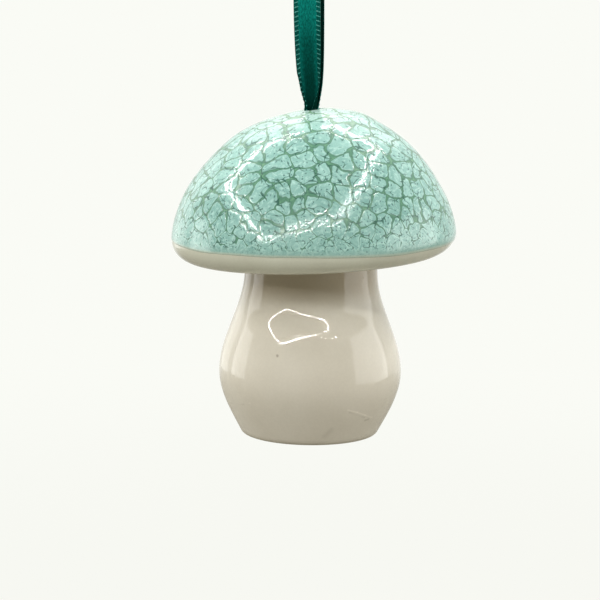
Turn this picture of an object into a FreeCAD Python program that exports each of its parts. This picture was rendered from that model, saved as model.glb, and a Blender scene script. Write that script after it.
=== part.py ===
# Ceramic mushroom ornament, hung from a satin ribbon loop.
# All sizes are in millimetres and all angles in degrees.
# The origin is the centre of the foot, +Z runs up the stem and +X is the viewer's right.
import FreeCAD, Part
import math
import os

V = FreeCAD.Vector

# Cap: a hollow slip-cast dome with a rolled rim and a flat underside.
ring_height = 47.6
dome_radius = 33.8
dome_height = 30.3
rim_drop = 5.2
rim_roll = 6.4
cap_wall = 3.0
cap_inner_round = 1.8
stem_opening_radius = 12.5
cap_offset = 0.5
cap_tilt = 2.7

# The dome's outline follows radius = sqrt(1 - rise ** dome_power), a little steeper than an ellipse.
dome_power = 1.6
dome_point_shares = (0.0, 0.08, 0.2, 0.36, 0.54, 0.71, 0.85, 0.94, 0.985, 1.0)

# Crackle glaze: one thick coat over the dome, ending in a soft edge on the rim.
glaze_coat = 0.7
glaze_line_drop = 0.9
glaze_edge_round = 0.35
rim_set_back = 0.2

# Crown hole: drilled on the stem's axis for the ribbon.
hole_radius = 2.25
hole_lip_round = 0.5

# Stem: a hollow bulb with a straight neck, luted to the cap's underside.
neck_radius = 15.85
bulb_radius = 21.75
foot_radius = 16.8
stem_wall = 3.0
foot_floor = 3.2
foot_round = 1.3
pour_hole_radius = 8.0
pour_hole_round = 0.8
bulb_height_share = 0.325
shoulder_height_share = 0.63
shoulder_swell_share = 0.505
waist_height_share = 0.84
waist_swell_share = 0.045

# Ribbon: one length of double-faced satin, doubled and knotted inside the cap.
ribbon_width = 6.35
ribbon_thickness = 0.3
loop_height = 75.0
loop_bend_radius = 5.0
bundle_depth = 1.8
bundle_clearance = 0.25
bundle_round_share = 0.33
swing_rise = 0.9
fold_clearance = 0.05
gather_length = 20.0
gather_height_shares = (0.0, 0.09, 0.18, 0.28, 0.4, 0.55, 0.75, 1.0)
gather_width_shares = (0.0, 0.16, 0.37, 0.6, 0.78, 0.9, 0.97, 1.0)
curl_depth = 1.0
curl_shares = (0.5, 0.64, 0.74, 0.7, 0.52, 0.3, 0.14, 0.05)

# Knot: an overhand knot pulled up under the crown, with two cut tails.
knot_width = 8.6
knot_depth = 6.4
knot_seat_gap = 0.25
wrap_thickness = 1.9
wrap_bulge = 0.55
wrap_spacing = 3.0
wrap_slant = 18.0
tail_length = 15.0
tail_spread = 3.4
tail_gather_share = 0.72
tail_cut_share = 0.3
tail_sway_share = 0.33

# Room that every cutting tool runs past the face it cuts.
overrun = 2.0

# The most of a wall's room that a rounded corner may take.
round_room_share = 0.9

# How close an edge has to lie to a place to be the one that is rounded there.
near = 0.05

# Heights and places that follow from the sizes above.
crown_height = ring_height + dome_height * math.cos(math.radians(cap_tilt))
pivot_height = crown_height + swing_rise
bundle_width = 2 * math.sqrt((hole_radius - bundle_clearance) ** 2 - (bundle_depth / 2) ** 2)
knot_top = crown_height - glaze_coat - cap_wall - knot_seat_gap
knot_centre = V(0, 0, knot_top - knot_depth / 2)
loop_slope = math.degrees(math.asin(loop_bend_radius / (loop_height - loop_bend_radius)))
strand_length = (loop_height - loop_bend_radius) * math.cos(math.radians(loop_slope))


def revolve(edges):
    """A solid turned round the Z axis from a closed outline in the XZ plane."""
    return Part.Face(Part.Wire(edges)).revolve(V(0, 0, 0), V(0, 0, 1), 360)


def dome_curve(radius, height):
    """The dome's outline from the widest ring up to the axis."""
    points = []
    for share in dome_point_shares:
        reach = math.sqrt(1 - share ** dome_power)
        points.append(V(radius * reach, 0, ring_height + height * share))
    curve = Part.BSplineCurve()
    curve.interpolate(points, InitialTangent=V(0, 0, 1), FinalTangent=V(-1, 0, 0))
    return curve.toShape()


def rim_curve(set_back, start, end):
    """Part of the rim's quarter ellipse, by drop below the widest ring."""
    centre = V(dome_radius - rim_roll, 0, ring_height)
    outer = centre + V(rim_roll - set_back, 0, 0)
    bottom = centre - V(0, 0, rim_drop)
    start_turn, end_turn = math.asin(start / rim_drop), math.asin(end / rim_drop)
    return Part.Ellipse(outer, bottom, centre).toShape(start_turn, end_turn)


def corner_arc(x, z, radius):
    """A rounded corner, down and outward of its centre."""
    lean = radius * math.sqrt(0.5)
    return Part.Arc(V(x, 0, z - radius), V(x + lean, 0, z - lean), V(x + radius, 0, z)).toShape()


def ends(edge):
    """The two end points of an edge, the lower one first."""
    return sorted((v.Point for v in edge.Vertexes), key=lambda p: p.z)


def set_on_stem(shape):
    """Tilts the cap as it was luted, right side up, and moves it to its place over the stem."""
    shape.rotate(V(0, 0, ring_height), V(0, 1, 0), -cap_tilt)
    shape.translate(V(cap_offset, 0, 0))
    return shape


def crown_hole():
    """The drill for the ribbon's hole, upright on the stem's axis."""
    depth = dome_height + overrun
    return Part.makeCylinder(hole_radius, depth, V(0, 0, ring_height), V(0, 0, 1))


def hole_lip(shape):
    """The upper edge of the crown hole, on the dome's surface."""
    rims = []
    for edge in shape.Edges:
        box = edge.BoundBox
        if abs(box.XMax - hole_radius) < near and abs(box.XMin + hole_radius) < near:
            rims.append(edge)
    return max(rims, key=lambda edge: edge.BoundBox.ZMax)


def cap():
    """Hollow dome in biscuit, bare and cream at the rim and underneath."""
    bed_radius = dome_radius - glaze_coat
    line_z = ring_height - glaze_line_drop
    bottom_z = ring_height - rim_drop
    dome = dome_curve(bed_radius, dome_height - glaze_coat)
    rim = rim_curve(rim_set_back, glaze_line_drop, rim_drop)
    rim_low, rim_high = ends(rim)
    inner_radius = bed_radius - cap_wall
    inner = dome_curve(inner_radius, dome_height - glaze_coat - cap_wall)
    floor_z = bottom_z + cap_wall
    inner_round = min(cap_inner_round, (ring_height - floor_z) * round_room_share)
    corner = corner_arc(inner_radius - inner_round, floor_z + inner_round, inner_round)
    outline = [
        dome,
        Part.makeLine(V(bed_radius, 0, ring_height), V(bed_radius, 0, line_z)),
        Part.makeLine(V(bed_radius, 0, line_z), rim_high),
        rim,
        Part.makeLine(rim_low, V(stem_opening_radius, 0, bottom_z)),
        Part.makeLine(V(stem_opening_radius, 0, bottom_z), V(stem_opening_radius, 0, floor_z)),
        Part.makeLine(V(stem_opening_radius, 0, floor_z), ends(corner)[0]),
        corner,
        Part.makeLine(ends(corner)[1], V(inner_radius, 0, ring_height)),
        inner,
        Part.makeLine(ends(inner)[1], ends(dome)[1]),
    ]
    return set_on_stem(revolve(outline)).cut(crown_hole())


def cap_glaze():
    """The crackle glaze as one coat, from the crown hole down to its edge on the rim."""
    bed_radius = dome_radius - glaze_coat
    line_z = ring_height - glaze_line_drop
    outer = dome_curve(dome_radius, dome_height)
    bed = dome_curve(bed_radius, dome_height - glaze_coat)
    rim = rim_curve(0, 0, glaze_line_drop - glaze_edge_round)
    rim_end = ends(rim)[0]
    edge = corner_arc(rim_end.x - glaze_edge_round, rim_end.z, glaze_edge_round)
    outline = [
        outer,
        rim,
        edge,
        Part.makeLine(ends(edge)[0], V(bed_radius, 0, line_z)),
        Part.makeLine(V(bed_radius, 0, line_z), V(bed_radius, 0, ring_height)),
        bed,
        Part.makeLine(ends(bed)[1], ends(outer)[1]),
    ]
    coat = set_on_stem(revolve(outline)).cut(crown_hole())
    return coat.makeFillet(hole_lip_round, [hole_lip(coat)])


def stem_curve(inset, low_z, high_z):
    """The stem's side, or its inner wall when set in, between two heights."""
    height = ring_height - rim_drop
    swell = bulb_radius - neck_radius
    points = [
        V(foot_radius - inset, 0, low_z),
        V(bulb_radius - inset, 0, height * bulb_height_share),
        V(neck_radius + swell * shoulder_swell_share - inset, 0, height * shoulder_height_share),
        V(neck_radius + swell * waist_swell_share - inset, 0, height * waist_height_share),
        V(neck_radius - inset, 0, high_z),
    ]
    curve = Part.BSplineCurve()
    curve.interpolate(points)
    return curve.toShape()


def joint_plane_tool():
    """A block over the cap's tilted underside, which trims the stem's top to meet it."""
    side = 2 * (bulb_radius + overrun)
    block = Part.makeBox(side, side, side, V(-side / 2, -side / 2, ring_height - rim_drop))
    return set_on_stem(block)


def stem():
    """Hollow bulb with its pour hole in the foot, trimmed to the cap."""
    top_z = ring_height - rim_drop + overrun
    outer = stem_curve(0, foot_round, top_z)
    inner = stem_curve(stem_wall, foot_floor, top_z)
    foot_edge = corner_arc(foot_radius - foot_round, foot_round, foot_round)
    lip_edge = corner_arc(-pour_hole_radius - pour_hole_round, pour_hole_round, pour_hole_round)
    lip_edge = lip_edge.mirror(V(0, 0, 0), V(1, 0, 0))
    outline = [
        outer,
        Part.makeLine(ends(outer)[1], ends(inner)[1]),
        inner,
        Part.makeLine(ends(inner)[0], V(pour_hole_radius, 0, foot_floor)),
        Part.makeLine(V(pour_hole_radius, 0, foot_floor), ends(lip_edge)[1]),
        lip_edge,
        Part.makeLine(ends(lip_edge)[0], ends(foot_edge)[0]),
        foot_edge,
    ]
    return revolve(outline).cut(joint_plane_tool())


def curled_section(height, width, curl):
    """The ribbon's thin section at one height of a strand: edges forward, middle behind."""
    half = width / 2
    thick = ribbon_thickness
    if curl > 0:
        inner = Part.Arc(V(-half, -curl, height), V(0, 0, height), V(half, -curl, height)).toShape()
        outer = Part.Arc(V(-half, thick - curl, height), V(0, thick, height),
                         V(half, thick - curl, height)).toShape()
    else:
        inner = Part.makeLine(V(-half, 0, height), V(half, 0, height))
        outer = Part.makeLine(V(-half, thick, height), V(half, thick, height))
    left = Part.makeLine(V(-half, -curl, height), V(-half, thick - curl, height))
    right = Part.makeLine(V(half, -curl, height), V(half, thick - curl, height))
    return Part.Wire([inner, right, outer, left])


def strand(side):
    """One straight strand of the loop, gathered at the crown and flat at the bend."""
    sections = []
    for rise, widen, curl in zip(gather_height_shares, gather_width_shares, curl_shares):
        width = bundle_width + (ribbon_width - bundle_width) * widen
        sections.append(curled_section(gather_length * rise, width, curl_depth * curl))
    sections.append(curled_section(strand_length, ribbon_width, 0))
    shape = Part.makeLoft(sections, True, True)
    shape.translate(V(0, -ribbon_thickness / 2, 0))
    shape.rotate(V(0, 0, 0), V(1, 0, 0), -side * loop_slope)
    shape.translate(V(0, 0, pivot_height))
    return shape


def loop_bend():
    """The top of the loop, bent round whatever it hangs from."""
    inner = loop_bend_radius - ribbon_thickness / 2
    centre = V(0, 0, pivot_height + loop_height - loop_bend_radius)
    side = math.radians(-loop_slope)
    outward = V(0, math.cos(side), math.sin(side))
    start = centre + outward * inner + V(-ribbon_width / 2, 0, 0)
    across = V(ribbon_width, 0, 0)
    face = Part.Face(Part.makePolygon([
        start,
        start + across,
        start + across + outward * ribbon_thickness,
        start + outward * ribbon_thickness,
        start,
    ]))
    return face.revolve(centre, V(1, 0, 0), 180 + 2 * loop_slope)


def hanging_ribbon():
    """The loop above the crown, with the round fold that it swings on."""
    left_end = V(-bundle_width / 2, 0, pivot_height)
    fold = Part.makeCylinder(bundle_depth / 2, bundle_width, left_end, V(1, 0, 0))
    loop = fold.fuse([strand(-1), strand(1), loop_bend()])
    return loop.removeSplitter()


def knot_tail(side):
    """One cut tail of the ribbon, which bends away below the knot."""
    top = knot_centre.z - knot_depth / 2 + ribbon_thickness
    low = top - tail_length
    reach = side * tail_spread
    thick = ribbon_thickness
    sway = reach * tail_sway_share
    middle = (top + low) / 2
    front = Part.Arc(V(0, 0, top), V(0, sway, middle), V(0, reach, low)).toShape()
    back = Part.Arc(V(0, thick, top), V(0, sway + thick, middle), V(0, reach + thick, low)).toShape()
    cap_line = Part.makeLine(V(0, 0, top), V(0, thick, top))
    end_line = Part.makeLine(V(0, reach, low), V(0, reach + thick, low))
    width = ribbon_width * tail_gather_share
    outline = Part.Wire(Part.__sortEdges__([front, back, cap_line, end_line]))
    strip = Part.Face(outline).extrude(V(width, 0, 0))
    strip.translate(V(-width / 2, -thick / 2, 0))
    slant = width * tail_cut_share
    corner = Part.makePolygon([
        V(-width / 2 - overrun, 0, low - overrun),
        V(width / 2 + overrun, 0, low - overrun),
        V(width / 2 + overrun, 0, low + slant),
        V(-width / 2 - overrun, 0, low - overrun),
    ])
    depth = 2 * (tail_spread + overrun)
    return strip.cut(Part.Face(corner).extrude(V(0, depth, 0)).translated(V(0, -depth / 2, 0)))


def ribbon_knot():
    """The doubled ribbon in the crown hole, the knot that holds it and its tails."""
    neck_top = pivot_height - bundle_depth / 2 - fold_clearance
    neck_low = knot_centre.z
    neck = Part.makeBox(bundle_width, bundle_depth, neck_top - neck_low,
                        V(-bundle_width / 2, -bundle_depth / 2, neck_low))
    upright = [e for e in neck.Edges if e.BoundBox.ZLength > bundle_width]
    neck = neck.makeFillet(bundle_depth * bundle_round_share, upright)
    core_radius = knot_depth / 2 - wrap_bulge
    stretch = FreeCAD.Matrix()
    stretch.scale(knot_width / 2 / core_radius, 1, 1)
    core = Part.makeSphere(core_radius).transformGeometry(stretch)
    core.translate(knot_centre)
    wraps = []
    for side in (-1, 1):
        middle = knot_centre + V(side * wrap_spacing / 2, 0, 0)
        wrap = Part.makeTorus((knot_depth - wrap_thickness) / 2, wrap_thickness / 2, middle, V(1, 0, 0))
        wrap.rotate(middle, V(0, 0, 1), side * wrap_slant)
        wraps.append(wrap)
    return core.fuse(wraps + [neck, knot_tail(-1), knot_tail(1)])


parts = {
    "cap": cap,
    "cap_glaze": cap_glaze,
    "stem": stem,
    "hanging_ribbon": hanging_ribbon,
    "ribbon_knot": ribbon_knot,
}

os.makedirs("parts", exist_ok=True)
for name, build in parts.items():
    shape = build()
    shape.exportStep("parts/" + name + ".step")
    box = shape.BoundBox
    corners = (box.XMin, box.XMax, box.YMin, box.YMax, box.ZMin, box.ZMax)
    print(name, "solids", len(shape.Solids), "valid", shape.isValid(), "volume", round(shape.Volume, 1),
          "box", [round(v, 2) for v in corners])
print("pivot height", round(pivot_height, 3), "crown", round(crown_height, 3), "knot top", round(knot_top, 3))
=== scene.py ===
# %% [markdown]
# # A ceramic mushroom ornament on a satin ribbon
# The real ornament is two hollow ceramic castings joined with slip: a domed cap and a bulb
# with a straight neck. The cap carries one thick coat of mint glaze that drew apart in the
# kiln into islands with green cracks between them. A doubled satin ribbon comes out of a
# hole in the crown and is knotted inside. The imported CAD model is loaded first, because it
# fixes every size and place, and each finer piece below is built on the same numbers.

# %% Load the CAD frame
import math

import bmesh
import bpy
import numpy as np
from mathutils import Euler, Matrix, Vector


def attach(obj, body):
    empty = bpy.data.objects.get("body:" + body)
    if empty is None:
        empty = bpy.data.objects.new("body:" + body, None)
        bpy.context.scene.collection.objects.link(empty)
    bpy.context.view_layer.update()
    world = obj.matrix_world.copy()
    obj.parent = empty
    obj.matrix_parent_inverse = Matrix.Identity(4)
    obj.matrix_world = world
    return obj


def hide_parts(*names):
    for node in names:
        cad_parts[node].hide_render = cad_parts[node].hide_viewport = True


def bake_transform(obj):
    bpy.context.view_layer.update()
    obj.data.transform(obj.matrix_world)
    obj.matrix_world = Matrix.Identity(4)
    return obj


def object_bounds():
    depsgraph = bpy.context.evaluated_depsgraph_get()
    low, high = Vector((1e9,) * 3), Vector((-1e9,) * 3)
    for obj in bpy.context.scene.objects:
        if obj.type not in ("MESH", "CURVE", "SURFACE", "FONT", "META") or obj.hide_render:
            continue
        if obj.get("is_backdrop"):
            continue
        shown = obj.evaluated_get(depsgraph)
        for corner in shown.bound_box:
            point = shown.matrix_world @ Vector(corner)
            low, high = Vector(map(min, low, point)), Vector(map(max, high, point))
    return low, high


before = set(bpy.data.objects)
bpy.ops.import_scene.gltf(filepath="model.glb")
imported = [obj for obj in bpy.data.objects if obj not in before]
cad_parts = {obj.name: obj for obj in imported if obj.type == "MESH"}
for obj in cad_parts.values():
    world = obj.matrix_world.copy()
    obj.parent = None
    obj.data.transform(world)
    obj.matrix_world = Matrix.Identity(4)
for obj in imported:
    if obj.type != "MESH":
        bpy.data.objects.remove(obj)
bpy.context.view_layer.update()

# %% [markdown]
# ## The camera
# The photograph was taken from a little above, with a long lens. Its distance, height and
# focal length were found from the outline of the cap, the neck and the foot. The camera is
# turned towards the middle of the picture instead of shifted, so that other views can use
# it unchanged.

# %% Camera
FOCAL_PIXELS = 2358
PICTURE_PIXELS = 600
camera_data = bpy.data.cameras.new("photograph")
camera_data.sensor_width = 36
camera_data.lens = camera_data.sensor_width * FOCAL_PIXELS / PICTURE_PIXELS
camera_data.clip_start = 0.05
camera_data.clip_end = 20
camera = bpy.data.objects.new("photograph", camera_data)
pitch, yaw, roll = math.radians(-9.32), math.radians(0.264), math.radians(0.64)
aim = Euler((math.radians(90) + pitch, 0, yaw)).to_matrix() @ Matrix.Rotation(roll, 3, "Z")
camera.location = (0, -0.5546, 0.1229)
camera.rotation_euler = aim.to_euler()
bpy.context.scene.collection.objects.link(camera)
bpy.context.scene.camera = camera
print("lens", round(camera_data.lens, 1), "mm")

# %% [markdown]
# ## The ribbon's route
# The ribbon is a flat cord: one strand comes up out of the crown in front, bends over at
# the top of the loop and goes down behind. Its middle line is a smooth NURBS curve through
# a few route points, and the strip follows points read from that curve.

# %% Ribbon route
RIBBON_WIDTH = 0.00635
ROUTE = [(-0.00055, 0.00055, 0.0730), (-0.00064, 0.00050, 0.0780), (-0.00160, -0.00150, 0.0960),
         (-0.00188, -0.00290, 0.1150), (-0.00275, -0.00415, 0.1320), (-0.00340, -0.00520, 0.1485),
         (-0.00300, -0.00340, 0.1545), (-0.00180, 0.00340, 0.1545), (-0.00140, 0.00520, 0.1485),
         (-0.00115, 0.00430, 0.1320), (-0.00095, 0.00330, 0.1150), (-0.00070, 0.00230, 0.0960),
         (-0.00045, 0.00135, 0.0780), (-0.00045, 0.00130, 0.0730)]
route_curve = bpy.data.curves.new("ribbon_route", "CURVE")
route_curve.dimensions = "3D"
route_curve.resolution_u = 24
spline = route_curve.splines.new("NURBS")
spline.points.add(len(ROUTE) - 1)
for point, place in zip(spline.points, ROUTE):
    point.co = (*place, 1)
spline.order_u = 3
spline.use_endpoint_u = True
route = bpy.data.objects.new("ribbon_route", route_curve)
bpy.context.scene.collection.objects.link(route)
route_line = np.array([v.co for v in bpy.data.meshes.new_from_object(route).vertices])
bpy.data.objects.remove(route)


def walk(line):
    """How far along a line each of its points lies."""
    return np.concatenate([[0], np.cumsum(np.linalg.norm(np.diff(line, axis=0), axis=1))])


# %% [markdown]
# ## Values in a node tree
# The shader nodes and the geometry nodes are both written in the script. One small class
# keeps that readable: it holds an output of a node, and each sum or step on it adds the node
# for that and gives the new output. So a rule reads like a formula.

# %% Node values
def set_inputs(made, inputs):
    """Gives inputs of a node, by name or number, their constants or values."""
    for key, given in dict(inputs).items():
        if isinstance(given, Value):
            given.tree.links.new(given.socket, made.inputs[key])
        else:
            made.inputs[key].default_value = given


def node(tree, kind, inputs=(), **settings):
    """Adds a node with its settings and inputs."""
    made = tree.nodes.new(kind)
    made.location = (180 * (len(tree.nodes) % 12), -220 * (len(tree.nodes) // 12))
    for key, setting in settings.items():
        setattr(made, key, setting)
    set_inputs(made, inputs)
    return made


class Value:
    """An output of a node."""

    def __init__(self, made, output=0):
        self.tree, self.socket = made.id_data, made.outputs[output]

    def then(self, kind, inputs, output=0, **settings):
        """An output of one more node in the same tree."""
        return Value(node(self.tree, kind, inputs, **settings), output)

    def calc(self, operation, other=0.0, clamp=False):
        """One sum with a number or another value."""
        return self.then("ShaderNodeMath", {0: self, 1: other}, operation=operation, use_clamp=clamp)

    def __add__(self, other):
        return self.calc("ADD", other)

    def __sub__(self, other):
        return self.calc("SUBTRACT", other)

    def __rsub__(self, other):
        return self.then("ShaderNodeMath", {0: other, 1: self}, operation="SUBTRACT")

    def __mul__(self, other):
        return self.calc("MULTIPLY", other)

    def __truediv__(self, other):
        return self.calc("DIVIDE", other)

    def vector(self, operation, other=(0.0, 0.0, 0.0), output=0):
        """One sum on places."""
        return self.then("ShaderNodeVectorMath", {0: self, 1: other}, output, operation=operation)

    def scaled(self, factor):
        """A direction made longer or shorter."""
        return self.then("ShaderNodeVectorMath", {0: self, "Scale": factor}, operation="SCALE")

    def part(self, axis):
        """One of the three numbers of a place."""
        return self.then("ShaderNodeSeparateXYZ", {"Vector": self}, axis)

    def red(self):
        """The red of a colour, which serves as a random number of each cell."""
        return self.then("ShaderNodeSeparateColor", {"Color": self})

    def step(self, start, end, low=0.0, high=1.0):
        """A smooth step from low at start to high at end."""
        inputs = {"Value": self, "From Min": start, "From Max": end, "To Min": low, "To Max": high}
        return self.then("ShaderNodeMapRange", inputs, "Result", interpolation_type="SMOOTHSTEP")

    def noise(self, scale, detail=2.0, roughness=0.5, output=0):
        """Soft noise from 0 to 1 at this place."""
        inputs = {"Vector": self, "Scale": scale, "Detail": detail, "Roughness": roughness}
        return self.then("ShaderNodeTexNoise", inputs, output)

    def mix(self, first, second):
        """Two colours mixed by this share."""
        return self.then("ShaderNodeMix", {0: self, 6: first, 7: second}, 2, data_type="RGBA")

    def bump(self, distance, strength=1.0):
        """The normal of a surface with this height."""
        return self.then("ShaderNodeBump", {"Height": self, "Distance": distance, "Strength": strength})


def material(name):
    """A new material with its Principled shader, as (material, tree, shader)."""
    made = bpy.data.materials.new(name)
    made.use_nodes = True
    return made, made.node_tree, made.node_tree.nodes["Principled BSDF"]


def painted(tree, name, output="Fac"):
    """What is painted on the points under a name, read in a material."""
    return Value(node(tree, "ShaderNodeAttribute", attribute_name=name), output)


def new_group(kind, name, inputs, outputs):
    """A node tree, as (tree, its inputs' values by name, its output node). An input is given by
    its usual number or, like an output, by its kind of socket."""
    tree = bpy.data.node_groups.new(name, kind)
    for label, given in inputs.items():
        socket = given if isinstance(given, str) else "Float"
        made = tree.interface.new_socket(label, in_out="INPUT", socket_type="NodeSocket" + socket)
        if given != socket:
            made.default_value = given
    for label, socket in outputs.items():
        tree.interface.new_socket(label, in_out="OUTPUT", socket_type="NodeSocket" + socket)
    entry = node(tree, "NodeGroupInput")
    return tree, {label: Value(entry, label) for label in inputs}, node(tree, "NodeGroupOutput")


def grouped(tree, group, inputs):
    """The outputs by name of a node group used in a material."""
    made = node(tree, "ShaderNodeGroup", inputs, node_tree=group)
    return {socket.name: Value(made, socket.name) for socket in made.outputs}


print("node values ready")

# %% [markdown]
# ## Meshes from rings
# Everything ceramic here is turned round an axis, so each piece is a stack of rings joined
# by triangles. Rings may hold different numbers of points, which keeps the triangles of the
# dome nearly even from the crown to the rim and leaves hidden walls coarse.

# %% Ring meshes
def ring_points(radius, height, count):
    """A ring of points round the Z axis."""
    angles = 2 * math.pi * np.arange(count) / count
    return np.stack([radius * np.cos(angles), radius * np.sin(angles), np.full(count, height)], 1)


def stitch(first, second, faces):
    """Triangles between two rings, given as (start, count), walked round together."""
    (a, n), (b, m) = first, second
    i = j = 0
    while i < n or j < m:
        if j >= m or (i < n and (i + 1) * m <= (j + 1) * n):
            faces.append((a + i % n, a + (i + 1) % n, b + j % m))
            i += 1
        else:
            faces.append((a + i % n, b + (j + 1) % m, b + j % m))
            j += 1


def stitched(name, rings):
    """The points and the outward triangles of a closed stack of rings."""
    starts = np.cumsum([0] + [len(ring) for ring in rings]).tolist()
    spans = [(start, len(ring)) for start, ring in zip(starts, rings)]
    points, faces = np.concatenate(rings), []
    for span, following in zip(spans, spans[1:] + spans[:1]):
        stitch(span, following, faces)
    a, b, c = points[np.array(faces)].transpose(1, 0, 2)
    inside = float(np.einsum("ij,ij->i", a, np.cross(b, c)).sum() / 6)
    if inside < 0:
        faces = [(i, k, j) for i, j, k in faces]
    print(name, len(faces), "triangles round", round(abs(inside) * 1e9), "mm3")
    return points, faces


def turned(name, outline, counts):
    """A closed outline of (radius, height), turned round Z."""
    return stitched(name, [ring_points(*corner, count) for corner, count in zip(outline, counts)])


def mesh_object(name, points, faces, edges=()):
    """A smooth-shaded mesh object at the origin."""
    mesh = bpy.data.meshes.new(name)
    mesh.from_pydata([tuple(p) for p in points], edges, faces)
    mesh.update()
    mesh.shade_smooth()
    made = bpy.data.objects.new(name, mesh)
    bpy.context.scene.collection.objects.link(made)
    return made


def paint_points(piece, name, values):
    """Paints a number or a place on each point of a piece."""
    values = np.array(values, np.float32)
    kind, key = ("FLOAT_VECTOR", "vector") if values.ndim == 2 else ("FLOAT", "value")
    piece.data.attributes.new(name, kind, "POINT").data.foreach_set(key, values.ravel())


def ease(value, start, end):
    """A smooth step from 0 at start to 1 at end."""
    share = np.clip((value - start) / (end - start), 0, 1)
    return share * share * (3 - 2 * share)


print("ring meshes ready")

# %% [markdown]
# ## The cap's form
# The dome is a little steeper than an ellipse, and its rim rolls under in a quarter
# ellipse. The cap was luted on nearly three degrees out of square, so it is made upright and
# then set on the stem like the real one. Its hand-made crown stands a little higher on the
# right and sags round the hole, and it is drawn over so that the hole, where the ribbon
# turns, stays above the stem's axis.

# %% Cap form
RING_HEIGHT, DOME_RADIUS, DOME_HEIGHT = 0.0476, 0.0338, 0.0303
RIM_DROP, RIM_ROLL = 0.0052, 0.0064
HOLE_RADIUS = 0.00225
DOME_POWER = 1.6
CAP_TILT = 2.7
CAP_SHIFT, HOLE_SHIFT = 0.0005, 0.00084
CROWN_LEAN, CROWN_SHOULDER, CROWN_SAG = 0.00045, 0.00042, 0.00045
LEAN_REACH, SHOULDER_REACH = 0.016, 0.012
SHOULDER_FADE, SAG_FADE, HOLE_FADE = (0.018, 0.011), (0.014, 0.006), (0.011, HOLE_RADIUS)
CROWN_HEIGHTS = (RING_HEIGHT + 0.010, RING_HEIGHT + 0.022)
HOLE_HEIGHTS = (RING_HEIGHT + 0.018, RING_HEIGHT + 0.024)


def dome_line(inset=0.0, points=400):
    """The dome's outline from the crown hole down to the widest ring."""
    radius, height = DOME_RADIUS - inset, DOME_HEIGHT - inset
    turn = np.linspace(math.asin(HOLE_RADIUS / radius), math.pi / 2, points)
    rise = np.clip(np.cos(turn), 0, 1) ** (2 / DOME_POWER)
    return np.stack([radius * np.sin(turn), RING_HEIGHT + height * rise], 1)


def rim_line(set_back=0.0, end_turn=90, points=60):
    """The rim's outline from the widest ring down and under."""
    turn = np.radians(np.linspace(0, end_turn, points))
    radius = DOME_RADIUS - RIM_ROLL + (RIM_ROLL - set_back) * np.cos(turn)
    return np.stack([radius, RING_HEIGHT - RIM_DROP * np.sin(turn)], 1)


def crown_lean(points, radius):
    """How far the hand-made crown stands higher on its right side, and sags round its hole."""
    lean = CROWN_LEAN * points[:, 0] / LEAN_REACH
    shoulder = CROWN_SHOULDER * points[:, 0] / SHOULDER_REACH * ease(radius, *SHOULDER_FADE)
    sag = CROWN_SAG * ease(radius, *SAG_FADE)
    return (lean + shoulder - sag) * ease(points[:, 2], *CROWN_HEIGHTS)


def set_on_stem(points):
    """The cap's points, tilted as it was luted and moved over the stem."""
    points = points.copy()
    radius = np.hypot(points[:, 0], points[:, 1])
    points[:, 2] += crown_lean(points, radius)
    points[:, 0] += HOLE_SHIFT * (ease(radius, *HOLE_FADE) * ease(points[:, 2], *HOLE_HEIGHTS))
    tilt = np.array(Matrix.Rotation(math.radians(-CAP_TILT), 3, "Y"))
    pivot = np.array([0, 0, RING_HEIGHT])
    return (points - pivot) @ tilt.T + pivot + np.array([CAP_SHIFT, 0, 0])


outer_line = np.concatenate([dome_line(), rim_line()[1:]])
print("dome outline", len(outer_line), "points")

# %% [markdown]
# ## The glaze coat
# The glaze is a separate coat over the dome. Its surface is a fine net of triangles about
# 0.3 mm wide, because the cracks are real grooves in it. Each point also gets a place on a
# flat map of the dome, drawn so that shapes keep their proportions: the map's scale grows
# towards the rim, which gives large islands on the crown and small ones at the rim. The coat
# ends in a waved line above the rim, rounds over there, and has a coarse bed underneath.

# %% Glaze coat mesh
NET, BED_NET = 0.000305, 0.0012
GLAZE_COAT = 0.0007
ISLAND = 0.0058
LINE_DROP, LINE_REACH = 0.0009, 0.014
EDGE_ROUND = ((0.00006, 0.00012), (0.00018, 0.00020), (0.00034, 0.00022))


def glaze_edge_shift(angle):
    """How far the glaze line runs below its even height, by the angle round the cap."""
    return (-0.00035 + 0.00120 * np.cos(angle) + 0.00016 * np.sin(2 * angle + 0.6)
            + 0.00012 * np.sin(3 * angle + 2.1) + 0.00007 * np.sin(7 * angle + 0.4)
            + 0.00004 * np.sin(13 * angle + 1.3) + 0.00062 * np.exp(-((angle - 5.18) / 0.33) ** 2))


outer_walk = walk(outer_line)
drop_turn = math.degrees(math.asin(LINE_DROP / RIM_DROP))
coat_length = walk(np.concatenate([dome_line(), rim_line(0, drop_turn)[1:]]))[-1]
ring_count = round(coat_length / NET) + 1
middle_radius = (outer_line[1:, 0] + outer_line[:-1, 0]) / 2
map_log = np.concatenate([[0], np.cumsum(np.diff(outer_walk) / middle_radius)])
rings, places, band = [], [], []


def add_ring(ring, place, above):
    """Adds one ring of the coat with its places on the map and its height over the edge."""
    rings.append(ring)
    places.append(place)
    band.append(np.full(len(ring), above))


def map_places(angles, along):
    """The places on the flat map, in islands, of points at an angle and a way down the dome."""
    reach = HOLE_RADIUS / ISLAND * np.exp(np.interp(along, outer_walk, map_log))
    return np.stack([reach * np.cos(angles), reach * np.sin(angles), np.zeros(len(angles))], 1)


def ring_angles(radius, spacing):
    """The angles of the points on a ring, at about this spacing."""
    count = max(60, round(2 * math.pi * radius / spacing))
    return 2 * math.pi * np.arange(count) / count


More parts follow.
